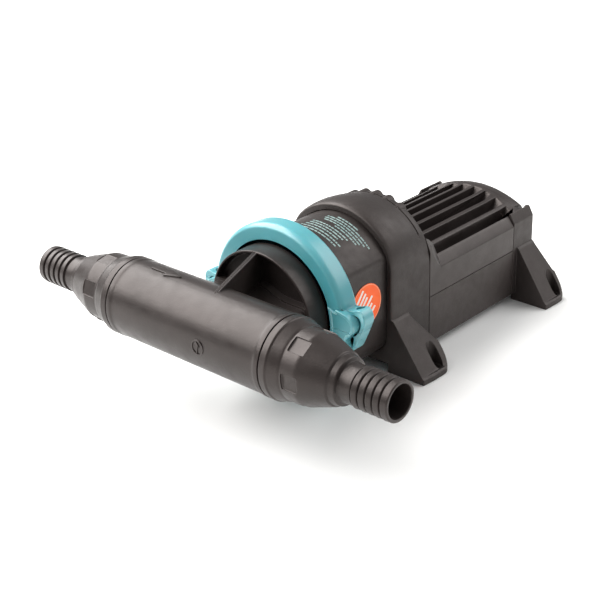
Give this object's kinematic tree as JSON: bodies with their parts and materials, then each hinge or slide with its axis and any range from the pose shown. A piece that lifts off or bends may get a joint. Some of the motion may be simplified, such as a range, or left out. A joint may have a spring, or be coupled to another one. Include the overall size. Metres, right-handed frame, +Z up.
{
  "type": "electric in-line diaphragm bilge pump",
  "caption": "In-line motor-driven diaphragm bilge pump: T manifold with hose tails, split clamp ring, gear housing, finned motor box and slotted feet.",
  "frame": {"origin": "middle of the assembly's box, on the plane the four feet stand on", "axes": "+X along the T manifold in the direction of flow, +Y from the pump head to the motor, +Z up"},
  "size_m": [0.32, 0.3494, 0.1261],
  "materials": {
    "black_glass_filled_plastic": "moulded glass-filled plastic, satin",
    "black_rubber": "matte moulded rubber",
    "teal_plastic": "moulded plastic, satin",
    "orange_label": "printed vinyl",
    "steel": "bright machined",
    "zinc_plated_steel": "zinc plated",
    "sintered_bronze": "sintered, oiled",
    "copper": "turned copper segments",
    "carbon": "pressed carbon",
    "ferrite": "ground ferrite",
    "white_nylon": "cut nylon, natural",
    "moulded_rod": "moulded acetal"
  },
  "bodies": {
    "housing": {"clamp_ring_upper": "teal_plastic", "clamp_ring_lower": "teal_plastic", "clamp_screw_left": "steel", "clamp_screw_right": "steel", "clamp_nut_left": "steel", "clamp_nut_right": "steel", "diaphragm": "black_rubber", "pump_body": "black_glass_filled_plastic", "gear_housing": "black_glass_filled_plastic", "housing_gasket": "black_rubber", "motor_tray": "black_glass_filled_plastic", "motor_cover": "black_glass_filled_plastic", "rear_bracket": "black_glass_filled_plastic", "cable_gland": "black_rubber", "round_label": "orange_label", "cover_screw_1": "steel", "cover_screw_2": "steel", "cover_screw_3": "steel", "cover_screw_4": "steel", "bracket_screw_left": "steel", "bracket_screw_right": "steel", "motor_screw_left": "steel", "motor_screw_right": "steel", "crank_bush_left": "sintered_bronze", "crank_bush_right": "sintered_bronze", "motor_can": "zinc_plated_steel", "motor_front_plate": "zinc_plated_steel", "motor_rear_cap": "zinc_plated_steel", "motor_bearing_front": "sintered_bronze", "motor_bearing_rear": "sintered_bronze", "field_magnet_left": "ferrite", "field_magnet_right": "ferrite", "brush_left": "carbon", "brush_right": "carbon"},
    "head": {"head_manifold": "black_glass_filled_plastic", "inlet_cap": "black_glass_filled_plastic", "outlet_cap": "black_glass_filled_plastic", "inlet_o_ring": "black_rubber", "outlet_o_ring": "black_rubber", "inlet_valve": "black_rubber", "outlet_valve": "black_rubber"},
    "crank": {"cross_shaft": "steel", "eccentric": "steel", "worm_wheel": "white_nylon"},
    "rod": {"connecting_rod": "moulded_rod", "rod_bush": "sintered_bronze", "diaphragm_plate_inner": "zinc_plated_steel", "diaphragm_plate_outer": "zinc_plated_steel", "plate_screw": "steel"},
    "armature": {"motor_shaft": "steel", "armature_core": "steel", "commutator": "copper", "worm": "steel"}
  },
  "joints": [
    {"name": "head_turn", "type": "hinge", "parent": "housing", "child": "head", "pos_m": [0, -0.0808, 0.0655], "axis": [0, 1, 0], "range_deg": [-20, 20]},
    {"name": "motor_spin", "type": "hinge", "parent": "housing", "child": "armature", "pos_m": [0.008, 0.004, 0.0405], "axis": [0, 1, 0], "continuous": true},
    {"name": "crank_spin", "type": "hinge", "parent": "housing", "child": "crank", "pos_m": [0, 0.004, 0.0655], "axis": [1, 0, 0], "continuous": true, "deforming": ["diaphragm"]},
    {"name": "rod_turn", "type": "hinge", "parent": "crank", "child": "rod", "pos_m": [0, 0, 0.0655], "axis": [1, 0, 0], "continuous": true}
  ],
  "couplings": [
    {"joint": "crank_spin", "follows": "motor_spin", "ratio": -0.041667},
    {"joint": "rod_turn", "follows": "motor_spin", "ratio": 0.041667}
  ]
}
